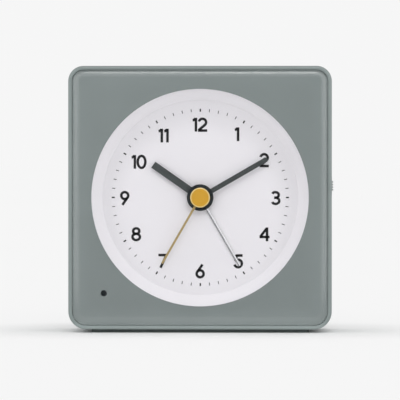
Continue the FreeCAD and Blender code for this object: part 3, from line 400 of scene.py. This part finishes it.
def amber_cap():
    """Glossy amber disc with fine turning rings and a paler rim, a painted highlight along its
    bevel.
    """
    finish, surface = new_finish("amber_cap")
    amber, rim_highlight_tone = (0.68, 0.37, 0.032), (0.8, 0.6, 0.22)
    disc = ramp(finish, noise(finish, 200.0), shade(amber, 0.96), shade(amber, 1.03))
    # Painted highlight: the rim is paler all round.
    on_rim_highlight = from_the_axis(finish, 3.1 * MM, 3.2 * MM)
    link(finish, blended(finish, on_rim_highlight, disc, rim_highlight_tone), surface.inputs["Base Color"])
    rings = waves(finish, centred_place(finish), 900.0, 0.4, wave_type="RINGS", rings_direction="Y")
    bump(finish, surface, rings, 0.6 * MICRON)
    link(finish, ramp(finish, noise(finish, 500.0), 0.18, 0.26), surface.inputs["Roughness"])
    surface.inputs["Coat Weight"].default_value = 0.35
    surface.inputs["Coat Roughness"].default_value = 0.08
    return finish


def copper_winding():
    """Enamelled wire laid turn by turn along X."""
    finish, surface = new_finish("copper_winding")
    gap_tone, wire_tone = (0.2, 0.06, 0.02), (0.62, 0.25, 0.08)
    turns = waves(finish, object_place(finish), 1600.0, 0.6, wave_type="BANDS", bands_direction="X")
    link(finish, ramp(finish, turns, gap_tone, wire_tone, 0.0, 1.0), surface.inputs["Base Color"])
    link(finish, ramp(finish, noise(finish, 900.0), 0.25, 0.4), surface.inputs["Roughness"])
    bump(finish, surface, turns, 40 * MICRON)
    surface.inputs["Metallic"].default_value = 0.6
    return finish


def circuit_green():
    """Solder resist with paler tracks under it."""
    finish, surface = new_finish("circuit_green")
    tracks = add_node(finish, "ShaderNodeTexBrick")
    tracks.inputs["Scale"].default_value = 320.0
    tracks.inputs["Mortar Size"].default_value = 0.06
    tracks.inputs["Color1"].default_value = (0.012, 0.085, 0.035, 1)
    tracks.inputs["Color2"].default_value = (0.014, 0.1, 0.042, 1)
    tracks.inputs["Mortar"].default_value = (0.03, 0.2, 0.08, 1)
    link(finish, object_place(finish), tracks.inputs["Vector"])
    link(finish, tracks.outputs["Color"], surface.inputs["Base Color"])
    link(finish, ramp(finish, noise(finish, 700.0), 0.28, 0.4), surface.inputs["Roughness"])
    return finish


def cell_jacket():
    """Printed sleeve of the cell: a dark body, a copper-coloured band at the nub's end and bare
    metal at both ends."""
    finish, surface = new_finish("cell_jacket")
    low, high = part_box("battery")
    bare_metal, dark, copper = (0.6, 0.6, 0.62), (0.035, 0.04, 0.045), (0.5, 0.26, 0.09)
    bands = ((0.0, bare_metal), (0.02, dark), (0.68, copper), (0.95, bare_metal))
    along = part_along(finish, object_place(finish), "X")
    along = way_between(finish, along, low.x, high.x, eased=False)
    link(finish, colour_steps(finish, along, bands, "CONSTANT"), surface.inputs["Base Color"])
    link(finish, ramp(finish, noise(finish, 400.0), 0.22, 0.34), surface.inputs["Roughness"])
    surface.inputs["Metallic"].default_value = 0.5
    return finish


finishes = {
    "sage_frame": sage_frame(),
    "sage_case": moulded("sage_case", (0.21, 0.245, 0.24), 0.52, grain=2200.0, depth=10 * MICRON),
    "sage_face": sage_face(),
    "clear_front": clear_front(),
    "white_ring": white_ring(),
    "white_dial": white_dial(),
    "slate_hand": slate_hand(),
    "silver_hand": metal("silver_hand", (0.43, 0.435, 0.445), 0.24, (8, 1, 1), depth=0.5 * MICRON),
    "gold_hand": painted("gold_hand", (0.4, 0.3, 0.13), 0.3),
    "amber_cap": amber_cap(),
    "knob_plastic": moulded("knob_plastic", (0.15, 0.178, 0.176), 0.5, depth=7 * MICRON),
    "rubber": moulded("rubber", (0.1, 0.118, 0.114), 0.85, grain=1800.0, depth=20 * MICRON,
                      spread=0.1),
    "white_moulding": moulded("white_moulding", (0.78, 0.77, 0.73), 0.45),
    "dark_moulding": moulded("dark_moulding", (0.02, 0.02, 0.022), 0.45),
    "brass": metal("brass", (0.75, 0.53, 0.2), 0.28, (1, 6, 1)),
    "steel": metal("steel", (0.56, 0.57, 0.58), 0.32, (1, 1, 5)),
    "spring_steel": metal("spring_steel", (0.75, 0.75, 0.74), 0.2, (1, 1, 7)),
    "copper_wire": copper_winding(),
    "board_green": circuit_green(),
    "cell_jacket": cell_jacket(),
    "sensor_black": moulded("sensor_black", (0.003, 0.008, 0.01), 0.18, depth=1 * MICRON),
    "magnet": metal("magnet", (0.16, 0.16, 0.17), 0.45, (1, 1, 1), depth=4 * MICRON),
    "lamp_resin": moulded("milky_resin", (0.83, 0.8, 0.62), 0.3, drift=0.02),
}

for node, slot in slots.items():
    mesh = nodes[node].data
    mesh.materials.clear()
    mesh.materials.append(finishes[slot])

# The sounder's disc is painted near-black, a painted shade, so that it stays dark behind the
# grille.
nodes["speaker"].data.materials[0] = moulded("sounder_lacquer", (0.018, 0.02, 0.02), 0.4)


# Helpers for the shapes

def placed(name, data):
    """A new object in the scene."""
    made = bpy.data.objects.new(name, data)
    bpy.context.scene.collection.objects.link(made)
    return made


def mesh_from(bm, name):
    mesh = bpy.data.meshes.new(name)
    bm.to_mesh(mesh)
    bm.free()
    return mesh


def piece_from(bm, name, finish, body, smooth=False):
    """The finished mesh as an object that rides on a body. Smooth says how its faces are shaded,
    and None leaves them as they are."""
    mesh = mesh_from(bm, name)
    if smooth is not None:
        for face in mesh.polygons:
            face.use_smooth = smooth
    made = placed(name, mesh)
    mesh.materials.append(finish)
    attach(made, body)
    return made


def verts_of(faces):
    return list({vert for face in faces for vert in face.verts})


def arc(x, z, across, up, start, end, steps=28):
    """Points along part of an ellipse, angles in degrees from the right."""
    turns = [math.radians(start + (end - start) * step / steps) for step in range(steps + 1)]
    return [(x + across * math.cos(turn), z + up * math.sin(turn)) for turn in turns]


def loop(x, z, across, up):
    """Points once round an ellipse."""
    return arc(x, z, across, up, 0, 360)[:-1]


def stroke_profile(width, thickness):
    """Flat bar section that a drawn line carries along."""
    curve = bpy.data.curves.new("stroke_profile", "CURVE")
    spline = curve.splines.new("POLY")
    corners = [(-width / 2, 0), (width / 2, 0), (width / 2, thickness), (-width / 2, thickness)]
    spline.points.add(len(corners) - 1)
    for point, (x, y) in zip(spline.points, corners):
        point.co = (x, y, 0, 1)
    spline.use_cyclic_u = True
    return placed("stroke_profile", curve)


def drawn_lines(lines, width, thickness):
    """Lines, each a list of points and whether it closes, as one flat mesh facing up in X and Y."""
    profile = stroke_profile(width, thickness)
    curve = bpy.data.curves.new("drawn_lines", "CURVE")
    curve.dimensions = "2D"
    curve.fill_mode = "NONE"
    curve.bevel_mode = "OBJECT"
    curve.bevel_object = profile
    curve.use_fill_caps = True
    for points, closed in lines:
        spline = curve.splines.new("POLY")
        spline.points.add(len(points) - 1)
        for point, (x, z) in zip(spline.points, points):
            point.co = (x, z, 0, 1)
        spline.use_cyclic_u = closed
    made = placed("drawn_lines", curve)
    bpy.context.view_layer.update()
    graph = bpy.context.evaluated_depsgraph_get()
    mesh = bpy.data.meshes.new_from_object(made.evaluated_get(graph))
    bpy.data.objects.remove(made)
    bpy.data.objects.remove(profile)
    bpy.data.curves.remove(curve)
    return mesh


# The pieces that replace a CAD node

def smooth_shell(node, name):
    """A moulded CAD part again with its rounded edges shaded smoothly. Broad flats stay flat, and
    edges past the crease stay sharp."""
    weld, crease, broad_share = 2 * MICRON, math.radians(28), 0.01
    bm = bmesh.new()
    bm.from_mesh(nodes[node].data)
    bmesh.ops.remove_doubles(bm, verts=bm.verts, dist=weld)
    bm.normal_update()
    facings = {face: tuple(round(part, 3) for part in face.normal) for face in bm.faces}
    spread = {}
    for face, facing in facings.items():
        spread[facing] = spread.get(facing, 0) + face.calc_area()
    broad = broad_share * sum(spread.values())
    for face, facing in facings.items():
        face.smooth = spread[facing] < broad
    for edge in bm.edges:
        rounded = all(face.smooth for face in edge.link_faces)
        edge.smooth = rounded and edge.calc_face_angle(math.pi) < crease
    slot = slots[node]
    body = nodes[node].parent.name.split(":")[1]
    made = piece_from(bm, name, finishes[slot], body, smooth=None)
    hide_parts(node)


def face_print():
    """The coloured face on the back of the clear front, a hair into it as paint on the plate is."""
    low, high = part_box("face_mask")
    weld, bite = 0.1 * MICRON, 0.01 * MM
    deeper = 1 + bite / (high.y - low.y)
    bm = bmesh.new()
    bm.from_mesh(nodes["face_mask"].data)
    bmesh.ops.remove_doubles(bm, verts=bm.verts, dist=weld)
    bmesh.ops.scale(bm, vec=(1, deeper, 1), space=Matrix.Translation((0, -high.y, 0)),
                    verts=bm.verts)
    made = piece_from(bm, "face_print", finishes["sage_face"], "case")
    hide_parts("face_mask")


def clear_front_plate():
    """Clear plate with rounded corners. Its front edge rolls over in a quarter ellipse."""
    low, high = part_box("front_lens")
    roll_width, roll_depth, roll_steps = 3.2 * MM, 1.1 * MM, 14
    upper_radius, lower_radius, corner_steps = 4.0 * MM, 5.0 * MM, 14
    inside_box = 0.001 * MM
    bm = bmesh.new()
    bmesh.ops.create_grid(bm, x_segments=1, y_segments=1, size=0.5)
    upright = Matrix.Rotation(math.radians(90), 3, "X")
    bmesh.ops.rotate(bm, cent=(0, 0, 0), matrix=upright, verts=bm.verts)
    bmesh.ops.scale(bm, vec=(high.x - low.x, 1, high.z - low.z), verts=bm.verts)
    upper = [vert for vert in bm.verts if vert.co.z > 0]
    lower = [vert for vert in bm.verts if vert.co.z < 0]
    for corners, radius in ((upper, upper_radius), (lower, lower_radius)):
        bmesh.ops.bevel(bm, geom=corners, offset=radius, offset_type="OFFSET",
                        segments=corner_steps, profile=0.5, affect="VERTICES", material=-1)
    middle = ((low.x + high.x) / 2, high.y, (low.z + high.z) / 2)
    bmesh.ops.translate(bm, vec=middle, verts=bm.verts)
    bmesh.ops.recalc_face_normals(bm, faces=bm.faces)
    front = bm.faces[:]
    if front[0].normal.y > 0:
        bmesh.ops.reverse_faces(bm, faces=front)
    front = bmesh.ops.extrude_face_region(bm, geom=front, use_keep_orig=True)["geom"]
    front = [part for part in front if isinstance(part, bmesh.types.BMFace)]
    roll_start = low.y + roll_depth + inside_box
    bmesh.ops.translate(bm, vec=(0, roll_start - high.y, 0), verts=verts_of(front))
    rolled = []
    for step in range(roll_steps, 0, -1):
        outer = math.pi / 2 * step / roll_steps
        inner = math.pi / 2 * (step - 1) / roll_steps
        inset = roll_width * (math.sin(outer) - math.sin(inner))
        rise = roll_depth * (math.cos(inner) - math.cos(outer))
        rolled += bmesh.ops.inset_region(bm, faces=front, thickness=inset, depth=0,
                                         use_even_offset=True, use_boundary=True)["faces"]
        bmesh.ops.translate(bm, vec=(0, -rise, 0), verts=verts_of(front))
    bmesh.ops.recalc_face_normals(bm, faces=bm.faces)
    for face in bm.faces:
        face.smooth = False
    for face in rolled:
        face.smooth = True
    made = piece_from(bm, "clear_front_plate", finishes["clear_front"], "case",
                      smooth=None)
    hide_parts("front_lens")


def cap_disc():
    """The disc over the hands: a bevelled rim, a shallow step down and the bore for the arbor."""
    low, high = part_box("centre_cap")
    arbor_low, arbor_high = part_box("seconds_arbor")
    radius = (high.x - low.x) / 2
    bore = (arbor_high.x - arbor_low.x) / 2
    weld = 1 * MICRON
    # Places on the front: how far in from the outer edge, and how far back from the rim
    disc_drop = 0.06 * MM
    disc_edge, rim_inner, rim_outer, bevel_middle = 0.62 * MM, 0.56 * MM, 0.38 * MM, 0.16 * MM
    bevel_drop, edge_drop = 0.1 * MM, 0.4 * MM
    outline = [(0, low.y + disc_drop), (radius - disc_edge, low.y + disc_drop),
               (radius - rim_inner, low.y), (radius - rim_outer, low.y),
               (radius - bevel_middle, low.y + bevel_drop), (radius, low.y + edge_drop),
               (radius, high.y), (bore, high.y), (bore, arbor_low.y), (0, arbor_low.y)]
    bm = bmesh.new()
    corners = [bm.verts.new((dial_axis.x + reach, y, dial_axis.z)) for reach, y in outline]
    edges = [bm.edges.new(pair) for pair in zip(corners, corners[1:])]
    bmesh.ops.spin(bm, geom=corners + edges, cent=(dial_axis.x, 0, dial_axis.z), axis=(0, 1, 0),
                   angle=2 * math.pi, steps=96, use_merge=True)
    bmesh.ops.remove_doubles(bm, verts=bm.verts, dist=weld)
    bmesh.ops.recalc_face_normals(bm, faces=bm.faces)
    made = piece_from(bm, "cap_disc", finishes["amber_cap"], "seconds_group",
                      smooth=True)
    made.data.set_sharp_from_angle(angle=math.radians(30))
    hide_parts("centre_cap")


face_print()
clear_front_plate()
cap_disc()
for node in ("front_frame", "rear_case", "snooze_bar", "battery_door"):
    smooth_shell(node, node + "_shell")


# The print on the dial. A digit is drawn in units of its own, from its middle.

digit_unit = 0.36 * MM
digit_stroke, digit_thickness = 2.6, 0.06
print_lift = 0.002 * MM
tick_lift, tick_thickness = 0.01 * MM, 0.02 * MM
tick_radius, tick_length = 31.5 * MM, 1.1 * MM
minute_tick_width, hour_tick_width = 0.28 * MM, 0.5 * MM

# Each line is a list of points and whether it closes.
digit_lines = {
    "0": [(loop(0, 0, 3.85, 6.0), True)],
    "1": [([(0, 6.9), (0, -6.9)], False),
          (arc(-3.4, 8.4, 3.3, 4.0, -28, -88, 8), False)],
    "2": [(arc(-0.1, 2.4, 3.6, 3.5, 168, -48) + [(-3.9, -5.5)], False),
          ([(-4.65, -5.9), (4.65, -5.9)], False)],
    "3": [(arc(-0.2, 3.1, 3.4, 2.8, 155, -90) + [(-1.5, 0.3)], False),
          (arc(0, -2.8, 3.7, 3.1, 90, -158), False)],
    "4": [([(2.4, 7.0), (2.4, -6.9)], False),
          ([(-5.1, -2.6), (5.0, -2.6)], False),
          ([(2.3, 6.3), (-4.5, -2.5)], False)],
    "5": [([(-2.3, 5.9), (4.3, 5.9)], False),
          ([(-1.6, 6.4), (-2.8, 0.4)], False),
          (arc(-0.3, -2.1, 3.8, 3.8, 140, -162), False)],
    "6": [(loop(0.1, -2.4, 3.5, 3.5), True),
          ([(2.5, 7.0), (-2.7, -0.4)], False)],
    "7": [([(-4.2, 5.9), (4.6, 5.9)], False),
          ([(3.9, 6.2), (-2.1, -6.9)], False)],
    "8": [(loop(0, 3.15, 3.1, 2.75), True),
          (loop(0, -2.75, 3.75, 3.15), True)],
    "9": [(loop(-0.1, 2.4, 3.5, 3.5), True),
          ([(-2.5, -7.0), (2.7, 0.4)], False)],
}

# Each numeral's place from the dial's axis in millimetres, and its digits with their shift.
numerals = {
    12: ((0.0, 26.3), (("1", -4.4), ("2", 2.3))),
    1: ((13.25, 22.85), (("1", 1.1),)),
    2: ((23.1, 13.5), (("2", 0.0),)),
    3: ((27.2, -0.2), (("3", 0.0),)),
    4: ((23.25, -13.35), (("4", 0.0),)),
    5: ((13.75, -23.1), (("5", 0.0),)),
    6: ((-0.1, -26.75), (("6", 0.0),)),
    7: ((-13.65, -22.97), (("7", 0.0),)),
    8: ((-23.2, -13.3), (("8", 0.0),)),
    9: ((-27.3, -0.2), (("9", 0.0),)),
    10: ((-22.2, 12.85), (("1", -4.1), ("0", 2.6))),
    11: ((-13.2, 22.35), (("1", -2.0), ("1", 3.7))),
}


def dial_ink(name, tone):
    return moulded(name, tone, 0.6, grain=3000.0, depth=3 * MICRON, drift=0.1)


def numeral(hour, x, z, digits):
    """One numeral, drawn flat and laid on the dial."""
    lines = [([(px + shift, pz) for px, pz in points], closed)
             for digit, shift in digits for points, closed in digit_lines[digit]]
    mesh = drawn_lines(lines, digit_stroke, digit_thickness)
    bm = bmesh.new()
    bm.from_mesh(mesh)
    bpy.data.meshes.remove(mesh)
    onto_dial = Matrix.Translation((dial_axis.x, dial_face - print_lift, dial_axis.z))
    upright = Matrix.Rotation(math.radians(90), 4, "X")
    shift_and_size = Matrix.Translation((x * MM, z * MM, 0)) @ Matrix.Scale(digit_unit, 4)
    bmesh.ops.transform(bm, matrix=onto_dial @ upright @ shift_and_size, verts=bm.verts)
    piece_from(bm, f"numeral_{hour:02d}", digit_ink, "case")


def tick_ring(name, minutes, width, ink):
    """Short printed marks round the dial, one at each of the given minutes."""
    bm = bmesh.new()
    for minute in minutes:
        mark = bmesh.ops.create_cube(bm, size=1.0)["verts"]
        turn = Matrix.Rotation(math.radians(6 * minute), 3, "Y")
        bmesh.ops.scale(bm, vec=(width, tick_thickness, tick_length), verts=mark)
        bmesh.ops.translate(bm, vec=(0, 0, tick_radius), verts=mark)
        bmesh.ops.rotate(bm, cent=(0, 0, 0), matrix=turn, verts=mark)
    bmesh.ops.translate(bm, vec=(dial_axis.x, dial_face - tick_lift, dial_axis.z), verts=bm.verts)
    piece_from(bm, name, ink, "case")


digit_ink = dial_ink("digit_ink", (0.005, 0.005, 0.006))
tick_ink = dial_ink("tick_ink", (0.04, 0.04, 0.043))
for hour, ((x, z), digits) in numerals.items():
    numeral(hour, x, z, digits)
tick_ring("minute_ticks", [m for m in range(60) if m % 5], minute_tick_width, tick_ink)
tick_ring("hour_ticks", range(0, 60, 5), hour_tick_width, digit_ink)


# Floor, light and camera

pale_wall = grey(0.923)
card_strength = 2.1


def studio_cards(owner, straight):
    """Brightness of what stands round the studio, for mirror-like surfaces. Straight in front,
    where the direction's Y is -1, it is dark, with bright cards round that and the plain pale
    wall beyond."""
    turned_away = way_between(owner, straight, -1.0, 0.0, eased=False)
    cards = ((0.006, 0.01), (0.03, 0.33), (0.1, 1.0), (0.3, 1.0), (0.6, 0.44))
    return colour_steps(owner, turned_away, cards)


def lit_floor():
    """Plain floor. The camera sees it mostly as white paper, so that the shadow on it stays
    light, and mirror-like surfaces see the studio in it, away from the clock."""
    half_size = 6.0
    foot_shift, foot_half = (0, 3 * MM, 0), (41 * MM, 16 * MM, 0)
    bm = bmesh.new()
    bmesh.ops.create_grid(bm, x_segments=1, y_segments=1, size=half_size)
    floor = placed("floor", mesh_from(bm, "floor"))
    finish, surface = new_finish("floor_white")
    floor.data.materials.append(finish)
    link(finish, ramp(finish, noise(finish, 3.0), 0.875, 0.885), surface.inputs["Base Color"])
    surface.inputs["Roughness"].default_value = 0.9
    surface.inputs["Specular IOR Level"].default_value = 0.0
    paths = add_node(finish, "ShaderNodeLightPath")

    # White paper for the camera, away from the clock's foot
    paper = add_node(finish, "ShaderNodeEmission")
    paper.inputs["Color"].default_value = (*pale_wall, 1)
    off_foot = object_place(finish)
    for operation, amount in (("ADD", foot_shift), ("ABSOLUTE", None), ("SUBTRACT", foot_half),
                              ("MAXIMUM", (0, 0, 0)), ("LENGTH", None)):
        off_foot = vector_step(finish, operation, off_foot, amount)
    off_foot = way_between(finish, off_foot, 20 * MM, 60 * MM, at_end=0.75)
    whiteness = number_step(finish, "MULTIPLY", paths.outputs["Is Camera Ray"], off_foot)
    seen = chosen(finish, whiteness, surface.outputs["BSDF"], paper.outputs["Emission"])

    # The studio for mirror-like surfaces, dark near the clock and at full strength far from it
    reach = vector_step(finish, "LENGTH", object_place(finish))
    direction = vector_step(finish, "NORMALIZE", object_place(finish))
    mirrored = add_node(finish, "ShaderNodeEmission")
    link(finish, studio_cards(finish, part_along(finish, direction, "Y")), mirrored.inputs["Color"])
    link(finish, way_between(finish, reach, 200 * MM, 350 * MM, 0.02, card_strength, eased=False),
         mirrored.inputs["Strength"])
    off_clock = way_between(finish, reach, 40 * MM, 220 * MM)
    studio = number_step(finish, "MULTIPLY", paths.outputs["Is Glossy Ray"], off_clock)
    show(finish, chosen(finish, studio, seen, mirrored.outputs["Emission"]))


def pale_world():
    """Even pale light all round. Mirror-like surfaces see the dark side of the studio straight in
    front, with bright cards standing round it."""
    world = bpy.data.worlds.new("studio")
    bpy.context.scene.world = world
    world.use_nodes = True
    world.node_tree.nodes.clear()
    output = add_node(world, "ShaderNodeOutputWorld")
    paths = add_node(world, "ShaderNodeLightPath")
    direction = add_node(world, "ShaderNodeTexCoord").outputs["Generated"]
    even = add_node(world, "ShaderNodeBackground")
    even.inputs["Color"].default_value = (*pale_wall, 1)
    even.inputs["Strength"].default_value = 1.0
    mirrored = add_node(world, "ShaderNodeBackground")
    mirrored.inputs["Strength"].default_value = card_strength
    link(world, studio_cards(world, part_along(world, direction, "Y")), mirrored.inputs["Color"])
    seen = chosen(world, paths.outputs["Is Glossy Ray"],
                  even.outputs["Background"], mirrored.outputs["Background"])
    link(world, seen, output.inputs["Surface"])


def sun(name, power, degrees_wide, towards):
    lamp = bpy.data.lights.new(name, "SUN")
    lamp.energy = power
    lamp.angle = math.radians(degrees_wide)
    made = placed(name, lamp)
    made.rotation_mode = "QUATERNION"
    made.rotation_quaternion = Vector(towards).to_track_quat("-Z", "Y")


def photo_camera():
    """Long lens nearly square to the front, a little from the right and above."""
    distance, seen_width, sensor_width = 1.6, 0.144, 36.0
    target = Vector((0.06 * MM, cad_box[0].y, 47.9 * MM))
    azimuth, elevation = math.radians(1.5), math.radians(1.0)
    away = Vector((math.sin(azimuth) * math.cos(elevation),
                   -math.cos(azimuth) * math.cos(elevation), math.sin(elevation)))
    lens = bpy.data.cameras.new("camera")
    lens.sensor_width = sensor_width
    lens.lens = sensor_width * distance / seen_width
    lens.clip_start, lens.clip_end = 0.05, 50.0
    camera = placed("camera", lens)
    camera.location = target + away * distance
    camera.rotation_mode = "QUATERNION"
    camera.rotation_quaternion = (-away).to_track_quat("-Z", "Y")
    bpy.context.scene.camera = camera


lit_floor()
pale_world()
sun("top_light", 0.45, 19, (-0.06, 0.78, -0.62))
sun("right_light", 0.36, 56, (-0.61, 0.78, -0.09))
sun("left_light", 0.25, 56, (0.61, 0.78, -0.09))
photo_camera()
bpy.context.scene.view_settings.view_transform = "Standard"
